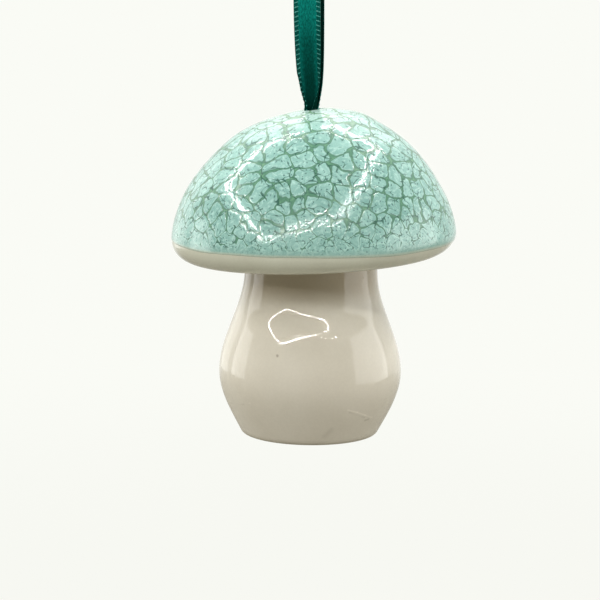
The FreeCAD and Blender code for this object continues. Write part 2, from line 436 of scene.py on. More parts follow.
for along in np.linspace(0, coat_length, ring_count):
    angles = ring_angles(np.interp(along, outer_walk, outer_line[:, 0]), NET)
    share = np.clip((along - coat_length + LINE_REACH) / LINE_REACH, 0, 1) ** 2
    moved = along + share * glaze_edge_shift(angles)
    radius, height = (np.interp(moved, outer_walk, outer_line[:, k]) for k in (0, 1))
    ring = np.stack([radius * np.cos(angles), radius * np.sin(angles), height], 1)
    add_ring(ring, map_places(angles, moved), coat_length - along)
edge = rings[-1]
for inward, down in EDGE_ROUND:
    ring = edge - np.array([0, 0, down])
    ring[:, :2] *= (1 - inward / np.linalg.norm(edge[:, :2], axis=1))[:, None]
    add_ring(ring, places[-1], -down)
for radius, height in dome_line(GLAZE_COAT, 24)[-2::-1]:
    angles = ring_angles(radius, BED_NET)
    count = len(angles)
    add_ring(ring_points(radius, height, count), map_places(angles, np.zeros(count)), coat_length)
coat_points, coat_faces = stitched("coat", rings)
glaze_coat = mesh_object("crackle_glaze_coat", set_on_stem(coat_points), coat_faces)
paint_points(glaze_coat, "glaze_place", np.concatenate(places))
paint_points(glaze_coat, "glaze_band", np.concatenate(band) * 1000)
outer_points = sum(len(ring) for ring in rings[:ring_count])
paint_points(glaze_coat, "glaze_face", np.arange(len(coat_points)) < outer_points)

# %% [markdown]
# ## The crackle as a rule
# The glaze drew apart along a net of cracks. A two-dimensional Voronoi texture on the flat
# map gives such a net: where its sharp and its softened distances part, a place lies in a
# seam between cells. Soft noise bends the seams, and a second noise opens and closes the
# cracks, so that many end blind. A finer net, weaker still, splits the islands, and a thin
# dark line follows the borders of the cracks, stronger in some places than in others. The
# same function fills a geometry tree, which cuts the grooves, and the material, which paints
# them, so that paint and groove agree.

# %% Crackle rule
def bend_place(place, scale, reach):
    """A place pushed about on the map by soft noise."""
    swing = place.noise(scale, 1.0, output="Color").vector("SUBTRACT", (0.5, 0.5, 0.5))
    return place.vector("ADD", swing.vector("MULTIPLY", (reach, reach, 0.0)))


def spread(place, shift, scale):
    """Broad noise, moved by a shift so that no two patterns line up."""
    return place.vector("ADD", shift).noise(scale, 1.0)


def seams(place, scale, softness):
    """How deep in a seam a place lies, 0 on a cell and about 1 on a seam, and how far from its
    cell's middle."""
    inputs, flat = {"Vector": place, "Scale": scale, "Randomness": 0.88}, {"voronoi_dimensions": "2D"}
    sharp = place.then("ShaderNodeTexVoronoi", inputs, "Distance", feature="F1", **flat)
    inputs["Smoothness"] = softness
    soft = place.then("ShaderNodeTexVoronoi", inputs, "Distance", feature="SMOOTH_F1", **flat)
    return (sharp - soft) / (softness * 0.125), sharp


def crackle(place, band):
    """The crack masks at a place on the map and a height in mm over the coat's edge."""
    bent = bend_place(bend_place(place, 0.9, 0.75), 2.6, 0.18)
    seam, from_middle = seams(bent, 1.0, 0.50)
    fine_seam, _ = seams(bend_place(bent.vector("ADD", (7.3, 3.1, 0.0)), 2.2, 0.35), 1.6, 0.36)
    ragged = (place.noise(4.0, 1.5) - 0.5) * 0.42
    opening = spread(place, (3.7, 9.2, 0.0), 0.8).step(0.34, 0.64, 0.43, 0.15)
    depth = seam + ragged - (opening + band.step(0.8, 8.5, 0.75, 0.0))
    side = spread(place, (6.1, 0.4, 0.0), 1.6).step(0.40, 0.56, 0.25, 1.0)
    line = depth.step(-0.12, 0.04) * depth.step(0.10, 0.42, 0.75, 0.0) * side
    chance = spread(place, (1.9, 5.5, 0.0), 1.3).step(0.38, 0.50)
    fine = (fine_seam + ragged - 0.34).step(-0.10, 0.28) * (from_middle.step(0.12, 0.30) * chance)
    bare = band.step(0.5, 2.2)
    return {"wide": depth.step(-0.14, 0.34) * bare, "fine": fine.calc("MAXIMUM", line) * bare,
            "pool": depth.step(0.40, 1.2), "seam": seam, "bent": bent, "bare": bare}


print("crackle rule ready")

# %% [markdown]
# ## Cutting the grooves
# The relief follows a rule, so Geometry Nodes make it: each point of the net sinks along
# its normal by the depth of the crack it lies in, and islands swell softly between them.
# The inner face of the coat stays where it is.

# %% Crackle relief tree
def geometry_group(name, numbers):
    """A geometry tree from a mesh, named numbers and a material to a mesh."""
    inputs = {"Mesh": "Geometry", **numbers, "Paint": "Material"}
    return new_group("GeometryNodeTree", name, inputs, {"Mesh": "Geometry"})


def named(tree, name, kind="FLOAT"):
    """What is painted on the points under a name, read in a geometry tree."""
    return Value(node(tree, "GeometryNodeInputNamedAttribute", {"Name": name}, data_type=kind), "Attribute")


def finish_tree(shape, paint, output):
    """Ends a tree in real geometry with its material."""
    real = shape.then("GeometryNodeRealizeInstances", {"Geometry": shape})
    set_inputs(output, {0: real.then("GeometryNodeSetMaterial", {"Geometry": real, "Material": paint})})


def push_out(given, amount, output):
    """Ends a tree with each point moved along its normal by an amount."""
    push = Value(node(amount.tree, "GeometryNodeInputNormal")).scaled(amount)
    moved = push.then("GeometryNodeSetPosition", {"Geometry": given["Mesh"], "Offset": push})
    finish_tree(moved, given["Paint"], output)


def apply_tree(piece, tree, values):
    """Runs a geometry tree on a piece with these inputs and keeps the result as its mesh."""
    modifier = piece.modifiers.new(tree.name, "NODES")
    modifier.node_group = tree
    for item in tree.interface.items_tree:
        if item.item_type == "SOCKET" and item.in_out == "INPUT" and item.name in values:
            modifier[item.identifier] = values[item.name]
    bpy.context.view_layer.update()
    found = piece.evaluated_get(bpy.context.evaluated_depsgraph_get())
    made = bpy.data.meshes.new_from_object(found)
    piece.modifiers.remove(modifier)
    piece.data = made
    print(piece.name, len(made.vertices), "points after", tree.name)


relief, given, relief_out = geometry_group("crackle_relief", {"Crack Depth": 0.0003, "Fine Depth": 0.0001,
                                                              "Island Swell": 0.0001})
height_band = named(relief, "glaze_band")
rule = crackle(named(relief, "glaze_place", "FLOAT_VECTOR"), height_band)
sink = rule["wide"] * given["Crack Depth"] + rule["fine"] * given["Fine Depth"]
rise = rule["seam"].step(0.0, 0.7, 1.0, 0.0) * height_band.step(1.0, 7.0) * given["Island Swell"]
push_out(given, (rise - sink) * named(relief, "glaze_face"), relief_out)
print("relief tree", len(relief.nodes), "nodes")

# %% [markdown]
# ## The crackle glaze's colour
# The islands are opaque mint, paler along their rounded borders, where the glaze is thick.
# The cracks show a mossy undercoat, darker where they are thin and yellowish where it pooled.
# Towards the crown islands and cracks alike are painted paler, as painted light from above.
# Small dark pits lie in the islands. The gloss is uneven, because the surface is covered in
# tiny ripples, so mirrored lamps break up into glints.

# %% Crackle glaze material
ISLAND_DEEP, ISLAND_LIGHT = (0.228, 0.440, 0.398, 1), (0.310, 0.548, 0.498, 1)
# The crown's island and moss colours are painted light from above.
MOTTLE, ISLAND_EDGE, LIT_CROWN_ISLAND = (0.43, 0.68, 0.63, 1), (0.45, 0.71, 0.65, 1), (0.58, 0.82, 0.75, 1)
MOSS, POOLED_MOSS, LIT_CROWN_MOSS = (0.084, 0.228, 0.146, 1), (0.145, 0.330, 0.200, 1), (0.25, 0.46, 0.29, 1)
FINE_CRACK, PIT = (0.040, 0.125, 0.095, 1), (0.060, 0.16, 0.155, 1)
# The thin edge colour is paler thin glaze at the coat's edge, and also painted light over the shade under the
# coat's rounded lip.
SMOOTH_BAND, THIN_EDGE_PAINTED_LIGHT = (0.27, 0.44, 0.395, 1), (0.50, 0.56, 0.46, 1)
GLAZE_IOR = 1.5
crackle_paint, tree, shader = material("crackle_glaze")
place, height_band = painted(tree, "glaze_place", "Vector"), painted(tree, "glaze_band")
rule = crackle(place, height_band)
island = place.noise(0.7, 3.0).step(0.3, 0.7).mix(ISLAND_DEEP, ISLAND_LIGHT)
island = rule["bent"].noise(4.2, 3.0, 0.62).step(0.44, 0.70).mix(island, MOTTLE)
island = (rule["seam"].step(0.02, 0.30) * 0.55).mix(island, ISLAND_EDGE)
# Painted light: islands and cracks turn paler towards the crown, where more light falls from above.
crown = place.vector("LENGTH", output="Value").step(0.9, 3.4, 0.80, 0.0)
island = crown.mix(island, LIT_CROWN_ISLAND)
pits = node(tree, "ShaderNodeTexVoronoi", {"Vector": rule["bent"], "Scale": 5.5, "Randomness": 1.0},
            voronoi_dimensions="2D")
picked = Value(pits, "Color").red()
across_pit = Value(pits, "Distance") / (picked.step(0.50, 1.0, 0.0, 0.36) + 0.001)
pit = across_pit.step(0.3, 1.2, 1.0, 0.0) * picked.step(0.50, 0.55)
island = (pit * 0.85).mix(island, PIT)
# The cracks share the crown's painted light.
undercoat = crown.mix(rule["pool"].mix(MOSS, POOLED_MOSS), LIT_CROWN_MOSS)
colour = (rule["wide"] * 0.95).mix(island, undercoat)
colour = (rule["fine"] * 0.88).mix(colour, FINE_CRACK)
colour = ((1.0 - rule["bare"]) * 0.55).mix(colour, SMOOTH_BAND)
# Paler where the glaze thins at its edge, and painted light over the shade under the rounded lip.
colour = height_band.step(0.0, 0.7, 0.7, 0.0).mix(colour, THIN_EDGE_PAINTED_LIGHT)
height = place.noise(12.0, 1.5) * 1.15 - (pit * 0.6 + rule["fine"] * 0.9)
glints = place.vector("ADD", (2.3, 4.1, 0.0)).noise(13.0, 1.5, 0.6)
set_inputs(shader, {"Base Color": colour, "Normal": height.bump(0.00001), "IOR": GLAZE_IOR,
                    "Specular IOR Level": glints.step(0.40, 0.54, 0.08, 1.0),
                    "Roughness": rule["wide"] * 0.16 + 0.07})
apply_tree(glaze_coat, relief, {"Crack Depth": 0.00004, "Fine Depth": 0.000015, "Island Swell": 0.000004,
                                "Paint": crackle_paint})
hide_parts("cap_glaze")
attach(glaze_coat, "mushroom")

# %% [markdown]
# ## The bare cap
# Under the glaze line the cap shows its cream clear-glazed body: the rolled rim and the flat
# underside round the neck. It is a hollow shell, so its outline goes round the rim, under
# to the stem's opening, back along the inner wall and out through the crown hole.

# %% Cap shell
CAP_WALL = 0.0030
STEM_OPENING = 0.0125
INNER_ROUND = 0.0018
RIM_SET_BACK, LINE_STEP, CAP_NET = 0.00014, 0.00056, 0.0008
STEP_HEIGHTS = (RING_HEIGHT + 0.006, RING_HEIGHT + 0.001)


def round_corner(centre, radius, start, end, count=8):
    """Points on an arc between two angles in degrees."""
    turn = np.radians(np.linspace(start, end, count))
    return np.stack([centre[0] + radius * np.cos(turn), centre[1] + radius * np.sin(turn)], 1)


upper = dome_line(GLAZE_COAT, 120)
upper[:, 0] += LINE_STEP * ease(upper[:, 1], *STEP_HEIGHTS)
bottom = RING_HEIGHT - RIM_DROP
floor = bottom + CAP_WALL
inner_radius = DOME_RADIUS - GLAZE_COAT - CAP_WALL
corner = round_corner((inner_radius - INNER_ROUND, floor + INNER_ROUND), INNER_ROUND, 0, -90)
inner = dome_line(GLAZE_COAT + CAP_WALL, 40)[::-1]
rim = rim_line(RIM_SET_BACK, 90, 40)
cap_outline = np.concatenate([upper, rim[1:], [(STEM_OPENING, bottom), (STEM_OPENING, floor)],
                              corner[::-1], inner[1:]])
cap_counts = [max(48, round(2 * math.pi * radius / CAP_NET)) for radius, _ in cap_outline]
cap_points, cap_faces = turned("cap", cap_outline, cap_counts)
cap_shell = mesh_object("cap_shell", set_on_stem(cap_points), cap_faces)

# %% [markdown]
# ## The stem
# The stem is a slip casting that was fettled by hand: a bulb with a straight neck and a flat
# foot, whose pour hole takes the ribbon's knot. It is turned like the cap, and the rounded
# edge of its foot runs into the slope of the bulb without a step. In front its shoulder is a
# little full, with a slight hollow over it, which the mirrored lamps in the photograph give
# away. Its top follows the tilted cap.

# %% Stem shell
FOOT_RADIUS, BULB_RADIUS, NECK_RADIUS = 0.0168, 0.02175, 0.01585
STEM_HEIGHT = RING_HEIGHT - RIM_DROP
FOOT_ROUND, STEM_WALL, FOOT_FLOOR = 0.0013, 0.0030, 0.0032
POUR_RADIUS, POUR_ROUND = 0.0080, 0.0008
FRONT_FORMS, FRONT_FADE = ((0.00045, 0.0263, 0.0036), (-0.00022, 0.0316, 0.0028)), (0.25, 0.8)
JOINT_START = 0.034


def smooth_through(knots, heights):
    """A natural cubic spline through (height, radius) points."""
    x, y = np.array(knots, float).T
    n = len(x)
    h = np.diff(x)
    system, right = np.eye(n), np.zeros(n)
    for k in range(1, n - 1):
        system[k, k - 1:k + 2] = h[k - 1], 2 * (h[k - 1] + h[k]), h[k]
        right[k] = 6 * ((y[k + 1] - y[k]) / h[k] - (y[k] - y[k - 1]) / h[k - 1])
    bend = np.linalg.solve(system, right)
    k = np.clip(np.searchsorted(x, heights) - 1, 0, n - 2)
    a, b = x[k + 1] - heights, heights - x[k]
    return ((bend[k] * a ** 3 + bend[k + 1] * b ** 3) / (6 * h[k])
            + (y[k] / h[k] - bend[k] * h[k] / 6) * a + (y[k + 1] / h[k] - bend[k + 1] * h[k] / 6) * b)


swell = BULB_RADIUS - NECK_RADIUS
STEM_KNOTS = [(FOOT_ROUND, FOOT_RADIUS), (0.325 * STEM_HEIGHT, BULB_RADIUS),
              (0.63 * STEM_HEIGHT, NECK_RADIUS + 0.505 * swell),
              (0.84 * STEM_HEIGHT, NECK_RADIUS + 0.045 * swell), (STEM_HEIGHT + 0.002, NECK_RADIUS)]
heights = np.linspace(FOOT_ROUND, STEM_HEIGHT, 110)
outer = np.stack([smooth_through(STEM_KNOTS, heights), heights], 1)
heights = np.linspace(STEM_HEIGHT, FOOT_FLOOR, 40)
inner = np.stack([smooth_through(STEM_KNOTS, heights) - STEM_WALL, heights], 1)
foot_slope = math.atan2(outer[1, 0] - outer[0, 0], outer[1, 1] - outer[0, 1])
foot_centre = FOOT_RADIUS - FOOT_ROUND / math.cos(foot_slope)
foot_edge = round_corner((foot_centre, FOOT_ROUND), FOOT_ROUND, -90, -math.degrees(foot_slope), 10)
pour_edge = round_corner((POUR_RADIUS + POUR_ROUND, POUR_ROUND), POUR_ROUND, 180, 270)
stem_outline = np.concatenate([foot_edge, outer, inner, [(POUR_RADIUS, FOOT_FLOOR)], pour_edge])
stem_points, stem_faces = turned("stem", stem_outline, [260] * len(stem_outline))
stem_radius = np.hypot(stem_points[:, 0], stem_points[:, 1])
front = ease(-stem_points[:, 1] / stem_radius, *FRONT_FADE)
for most, level, reach in FRONT_FORMS:
    form = most * np.exp(-((stem_points[:, 2] - level) / reach) ** 2)
    stem_points[:, :2] *= (1 + front * form / stem_radius)[:, None]
joint_rise = np.clip((stem_points[:, 2] - JOINT_START) / (STEM_HEIGHT - JOINT_START), 0, 1)
under_cap = np.column_stack([stem_points[:, :2], np.full(len(stem_points), STEM_HEIGHT)])
stem_points[:, 2] += (set_on_stem(under_cap)[:, 2] - STEM_HEIGHT) * joint_rise
stem_shell = mesh_object("stem_shell", stem_points, stem_faces)

# %% [markdown]
# ## Hand-smoothed clay
# Both castings have the faint unevenness of hand-smoothed clay, which bends the reflections
# in their gloss. A geometry tree moves each point along its normal by a slow noise. A painted
# share keeps the foot, the joint and the glaze's bed true, so that the castings still meet.

# %% Clay unevenness tree
clay, given, clay_out = geometry_group("hand_smoothed_clay", {"Depth": 0.0001, "Patches Per Metre": 40.0})
slow = Value(node(clay, "GeometryNodeInputPosition")).noise(given["Patches Per Metre"], 1.0, 0.4)
push_out(given, (slow - 0.5) * (named(clay, "free_clay") * given["Depth"]), clay_out)
for piece, level, low, high, reach in ((stem_shell, stem_points[:, 2], 0, STEM_HEIGHT - 0.0005, 0.006),
                                       (cap_shell, cap_points[:, 2], bottom, RING_HEIGHT, 0.002)):
    free = np.clip((level - low) / reach, 0, 1) * np.clip((high - level) / reach, 0, 1)
    paint_points(piece, "free_clay", free)
print("clay tree", len(clay.nodes), "nodes")

# %% [markdown]
# ## What lies in the clay and its glaze
# Faint clouds, a few dark specks and the small waves of the gloss are in both castings, so
# one node group makes them for the cap and the stem. A second group makes one short, soft
# stroke between two places. Low on the stem such strokes paint the highlights and shade of
# shallow dents, and one dark mark.

# %% Clay groups
clouds, given, clouds_out = new_group("ShaderNodeTree", "clay_clouds",
                                      {"Cloud Scale": 60.0, "Speck Scale": 400.0, "Speck Share": 0.006,
                                       "Place": "Vector"},
                                      dict.fromkeys(("Cloud", "Speck", "Ripple", "Glint"), "Float"))
place = given["Place"]
specks = node(clouds, "ShaderNodeTexVoronoi", {"Vector": place, "Scale": given["Speck Scale"]})
picked = Value(specks, "Color").red().calc("LESS_THAN", given["Speck Share"])
grain = place.noise(1700.0, 1.0)
set_inputs(clouds_out, {"Cloud": place.noise(given["Cloud Scale"], 3.0).step(0.3, 0.7),
                        "Speck": picked * Value(specks, "Distance").step(0.10, 0.22, 1.0, 0.0),
                        "Ripple": place.noise(260.0) + grain * 0.03, "Glint": grain.step(0.42, 0.56)})
stroke = {"Place": "Vector", "Start": "Vector", "Span": "Vector", "Width": 0.0003}
hairline, given, soft_stroke_out = new_group("ShaderNodeTree", "hairline", stroke, {"Mask": "Float"})
span = given["Span"]
away = given["Place"].vector("SUBTRACT", given["Start"])
along = away.vector("DOT_PRODUCT", span, "Value")
nearest = span.scaled(along.calc("DIVIDE", span.vector("DOT_PRODUCT", span, "Value"), clamp=True))
off = away.vector("DISTANCE", nearest, "Value")
set_inputs(soft_stroke_out, {"Mask": off.step(0.0, given["Width"], 1.0, 0.0)})
print("clay groups", len(clouds.nodes), "and", len(hairline.nodes), "nodes")

# %% [markdown]
# ## Cream gloss
# The body is a warm grey cream under clear gloss. Each casting gives the groups its own
# colours. On the stem a brown shade is painted under the cap, pale and dark strokes low on
# the side paint the highlights and shade of shallow dents beside one dark mark, and the
# foot's face was wiped clean of glaze, so it is matt there.

# %% Cream glaze materials
SPECK = (0.16, 0.12, 0.08, 1)
# The brown under the cap is painted shade, where the cap's shadow falls on the neck.
UNDER_CAP_SHADE, BARE_CLAY = (0.36, 0.285, 0.18, 1), (0.50, 0.47, 0.39, 1)
# Pale strokes are painted highlights of shallow dents and dark strokes their painted shade; the last, broad
# dark stroke by the foot is a real dark mark.
DENT_HIGHLIGHT, DENT_SHADE_AND_MARK = (0.86, 0.82, 0.72, 1), (0.20, 0.17, 0.12, 1)
STEM_DENT_LIGHT_AND_MARKS = [((25.7, 9.2), (33.0, 8.4), 0.00035, 0.5, DENT_HIGHLIGHT),
              ((33.0, 8.4), (40.8, 7.3), 0.00036, 0.6, DENT_HIGHLIGHT),
              ((40.8, 7.3), (49.1, 6.3), 0.00030, 0.5, DENT_HIGHLIGHT),
              ((27.0, 8.6), (41.0, 6.7), 0.00040, 0.18, DENT_SHADE_AND_MARK),
              ((42.5, 5.9), (46.0, 6.0), 0.00050, 0.36, DENT_SHADE_AND_MARK),
              ((-68.8, 8.6), (-41.6, 9.9), 0.00030, 0.35, DENT_HIGHLIGHT),
              ((-68.8, 8.2), (-48.0, 9.2), 0.00035, 0.15, DENT_SHADE_AND_MARK),
              ((16.1, 4.2), (12.2, 2.6), 0.00120, 0.13, DENT_SHADE_AND_MARK)]


def on_stem(turn, height):
    """A place on the stem's face, by its turn from the front in degrees and its height in mm."""
    turn, height = math.radians(turn), height / 1000
    radius = smooth_through(STEM_KNOTS, np.array([height]))[0]
    return Vector((radius * math.sin(turn), -radius * math.cos(turn), height))


def cream_glaze(name, pale, deep, is_stem):
    """A cream gloss over clouded clay, with the stem's painted shade under the cap, painted dent light, dark
    mark and bare foot.
    """
    made, tree, shader = material(name)
    place = Value(node(tree, "ShaderNodeTexCoord"), "Object")
    clay_parts = grouped(tree, clouds, {"Place": place})
    colour = clay_parts["Cloud"].mix(pale, deep)
    colour = (clay_parts["Speck"] * 0.5).mix(colour, SPECK)
    rough = clay_parts["Ripple"] * 0.03 + 0.04
    if is_stem:
        # Painted dent highlights and shade, and one real dark mark.
        for start, end, width, strength, tint in STEM_DENT_LIGHT_AND_MARKS:
            start, end = on_stem(*start), on_stem(*end)
            stroke = {"Place": place, "Start": start, "Span": end - start, "Width": width}
            colour = (grouped(tree, hairline, stroke)["Mask"] * strength).mix(colour, tint)
        height = place.part("Z")
        # Painted shade: the neck under the cap is darkened brown, where the cap's shadow falls.
        colour = height.step(0.0315, 0.0380, 0.0, 0.58).mix(colour, UNDER_CAP_SHADE)
        wiped = height.step(0.0004, 0.0015, 1.0, 0.0)
        colour = wiped.mix(colour, BARE_CLAY)
        rough = rough + wiped * 0.6
    set_inputs(shader, {"Base Color": colour, "Roughness": rough, "IOR": GLAZE_IOR,
                        "Specular IOR Level": clay_parts["Glint"] * 0.22 + 0.34,
                        "Normal": clay_parts["Ripple"].bump(0.00009, 0.5)})
    return made


cap_paint = cream_glaze("cream_glaze", (0.62, 0.64, 0.535, 1), (0.555, 0.565, 0.465, 1), False)
stem_paint = cream_glaze("stem_glaze", (0.675, 0.645, 0.56, 1), (0.625, 0.592, 0.505, 1), True)
for piece, depth, patches, paint, cad_node, slot in (
        (cap_shell, 0.00008, 70.0, cap_paint, "cap", "cream_glaze"),
        (stem_shell, 0.0005, 45.0, stem_paint, "stem", "stem_glaze")):
    apply_tree(piece, clay, {"Depth": depth, "Patches Per Metre": patches, "Paint": paint})
    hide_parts(cad_node)
    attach(piece, "mushroom")

# %% [markdown]
# ## The satin strip
# Seen from the front the ribbon is flat where it hangs free, and towards the crown hole its
# two edges roll forward and inward until it fits the hole. The strip is a row of sections
# along the route. Each section keeps the ribbon's full width along its curve, so the rolled
# foot is narrower only because it curls. In the hole itself the points are drawn in towards
# its axis, and less and less above it, like a ribbon that is gathered through a drilled hole.
# How much light reaches each point is painted too: the hollow of the roll and the side that
# faces the other strand stay dark.

# %% Ribbon strip
ROW_SPACING, CROWN_LEVEL, RIBBON_THICKNESS = 0.0004, 0.0775, 0.00026
CURL_HEIGHTS = (0, 3, 6, 9, 13.5, 21, 30, 45)
FRONT_LEFT_TURNS = (115, 88, 64, 50, 37, 22, 12, 4)
FRONT_RIGHT_TURNS = (172, 125, 88, 64, 44, 26, 13, 4)
BACK_TURNS = (112, 84, 62, 46, 32, 18, 9, 3)
FLAT_SHARES = (0.05, 0.12, 0.18, 0.2, 0.2, 0.2, 0.2, 0.2)
HOLE_LEAD, HOLE_LOW, HOLE_HIGH, HOLE_REACH, HOLE_FLARE = 0.0008, 0.0734, 0.0787, 0.00190, 0.30
LIT_HEIGHTS, LIT_SHARES = (0, 7, 15, 22, 30), (0.10, 0.10, 0.28, 0.74, 1.0)
LIT_MIDDLE, LIT_FADE = 0.38, (0.7, 2.0)
SIDEWAYS = np.array([1.0, 0, 0])


def unit(vectors):
    """Directions at a length of one."""
    return vectors / np.linalg.norm(vectors, axis=-1, keepdims=True)


def curled(left_turn, right_turn, flat_share, count=29):
    """A section of the ribbon's width as (across, back): the edges turn forward by these angles."""
    share = np.linspace(-1, 1, count)
    turn = np.where(share < 0, -left_turn, right_turn) * ease(np.abs(share), flat_share, 1)
    middle = (turn[1:] + turn[:-1]) / 2
    part = RIBBON_WIDTH / (count - 1)
    across = np.concatenate([[0], np.cumsum(np.cos(middle) * part)])
    back = np.concatenate([[0], np.cumsum(-np.sin(middle) * part)])
    across -= (across.max() + across.min()) / 2
    back -= back[count // 2]
    return np.stack([across, back], 1)


def turns_at(height_mm, front):
    """The two edge turns and the flat middle of a section, by height over the crown hole."""
    tables = (FRONT_LEFT_TURNS, FRONT_RIGHT_TURNS) if front else (BACK_TURNS, BACK_TURNS)
    left, right = (math.radians(np.interp(height_mm, CURL_HEIGHTS, table)) for table in tables)
    return left, right, np.interp(height_mm, CURL_HEIGHTS, FLAT_SHARES)


def section_row(place, section, across, inward, side):
    """A section set at a place, as a row of points with their normals. Side -1 turns it round."""
    slope = unit(np.gradient(section, axis=0))
    row = place + section[:, :1] * across + side * section[:, 1:] * inward
    return row, slope[:, :1] * inward - side * slope[:, 1:] * across


def wall_quads(loops, size):
    """The quads between loops of points that follow one another."""
    return [(k * size + j, k * size + (j + 1) % size, (k + 1) * size + (j + 1) % size, (k + 1) * size + j)
            for k in range(loops - 1) for j in range(size)]


def closed_strip(rows, normals):
    """A thin closed body round a strip's middle surface, as points and quads."""
    n, m = rows.shape[:2]
    half = normals * RIBBON_THICKNESS / 2
    loops = np.concatenate([rows + half, (rows - half)[:, ::-1]], 1)
    faces, size = wall_quads(n, 2 * m), 2 * m
    for base in (0, (n - 1) * size):
        for j in range(m - 1):
            faces.append((base + j, base + j + 1, base + size - 2 - j, base + size - 1 - j))
    return loops.reshape(-1, 3), faces


def inside_hole(points):
    """Points pulled in towards the axis where they pass the crown hole, and less and less above it."""
    points = points.copy()
    radius = np.hypot(points[..., 0], points[..., 1])
    height = points[..., 2]
    share = ease(height, HOLE_LOW - HOLE_LEAD, HOLE_LOW)
    reach = HOLE_REACH + HOLE_FLARE * np.maximum(0, height - HOLE_HIGH)
    pulled = np.minimum(radius, reach) / np.maximum(radius, 1e-9)
    points[..., :2] *= (1 + share * (pulled - 1))[..., None]
    return points


route_walk = walk(route_line)
wanted = np.linspace(0, route_walk[-1], round(route_walk[-1] / ROW_SPACING) + 1)
strip_line = np.stack([np.interp(wanted, route_walk, route_line[:, k]) for k in range(3)], 1)
strip_walk = walk(strip_line)
in_front = strip_walk < strip_walk[-1] / 2
strip_along = unit(np.gradient(strip_line, axis=0))
strip_inward = unit(np.cross(strip_along, SIDEWAYS))
row_height = (strip_line[:, 2] - CROWN_LEVEL) * 1000
rows, normals = [], []
for place, along, inward, height, front in zip(strip_line, strip_along, strip_inward, row_height, in_front):
    section = curled(*turns_at(height, front))
    row, normal = section_row(place, section, np.cross(inward, along), inward, 1 if front else -1)
    rows.append(row)
    normals.append(normal)
rows, normals = inside_hole(np.array(rows)), np.array(normals)
strip_points, strip_faces = closed_strip(rows, normals)
ribbon = mesh_object("satin_ribbon_loop", strip_points, strip_faces)
width_place = np.linspace(-0.5, 0.5, rows.shape[1]) * RIBBON_WIDTH * 1000
weave = np.zeros((len(rows), 2 * rows.shape[1], 3))
weave[:, :, 0] = np.concatenate([width_place, width_place[::-1]])
weave[:, :, 1] = (strip_walk * 1000)[:, None]
paint_points(ribbon, "weave_place", weave.reshape(-1, 3))
hollow = 1 - np.interp(row_height, LIT_HEIGHTS, LIT_SHARES)
lit = 1 - hollow[:, None] * (1 - LIT_MIDDLE * ease(np.abs(width_place), *LIT_FADE))
outer_lit = np.where(in_front[:, None], lit, 1.0)
paint_points(ribbon, "lit", np.concatenate([np.zeros_like(lit), outer_lit[:, ::-1]], 1).ravel())
print("strip rows", len(strip_line), "faces", len(strip_faces))

# %% [markdown]
# ## Outward faces
# A strip or a swept tube can come out inside out. Blender's own recalculation turns every
# face of a closed shell outwards, so each such piece goes through one helper.

# %% Outward faces
def face_outwards(piece):
    """Turns all faces of a closed piece outwards."""
    work = bmesh.new()
    work.from_mesh(piece.data)
    bmesh.ops.recalc_face_normals(work, faces=work.faces)
    work.to_mesh(piece.data)
    work.free()
    piece.data.shade_smooth()
    return piece


face_outwards(ribbon)

# %% [markdown]
# ## The knot inside the crown
# The doubled ribbon is tied in an overhand knot under the crown, which can be seen through
# the pour hole, and its two slanted ends hang below. An overhand knot is a short formula:
# three polynomials of one number wind a line round itself once. A flattened bundle is swept
# along that line. The tails are strips like the ribbon itself, which uncurl on the way down.

# %% Ribbon knot
KNOT_CENTRE, KNOT_SIZES = np.array([0.0, 0.0, 0.0708]), np.array([0.0008, 0.00045, 0.000165])
KNOT_EXIT, EXIT_START, EXIT_LENGTH = np.array([-0.00045, 0.0009]), 1.7, 0.42
BUNDLE_PLACES = (-2.12, -1.6, 0, 1.6, 2.12)
BUNDLE_WIDE, BUNDLE_THICK = (0.0034, 0.0030, 0.0028, 0.0030, 0.0030), (0.0014, 0.0015, 0.0016, 0.0015, 0.0014)
TAILS = ((-1, 0.0150, 0.0028), (1, 0.0138, 0.0034))
TAIL_TOP, TAIL_SWAY, TAIL_APART, TAIL_CUT = 0.0680, 0.0006, 0.0003, 0.0018
TAIL_TURN, TAIL_UNCURL, TAIL_FLAT = 150, 118, 0.15


def swept(line, wide, thick, count):
    """A closed tube of flattened section along a line of points."""
    side, points = SIDEWAYS, []
    angles = 2 * math.pi * np.arange(count) / count
    for place, along, w, t in zip(line, unit(np.gradient(line, axis=0)), wide / 2, thick / 2):
        side = unit(side - along * (side @ along))
        up = np.cross(along, side)
        points.append(place + np.outer(np.cos(angles) * w, side) + np.outer(np.sin(angles) * t, up))
    last = (len(line) - 1) * count
    ends = [tuple(range(count)), tuple(range(last, last + count))[::-1]]
    return np.concatenate(points), wall_quads(len(line), count) + ends


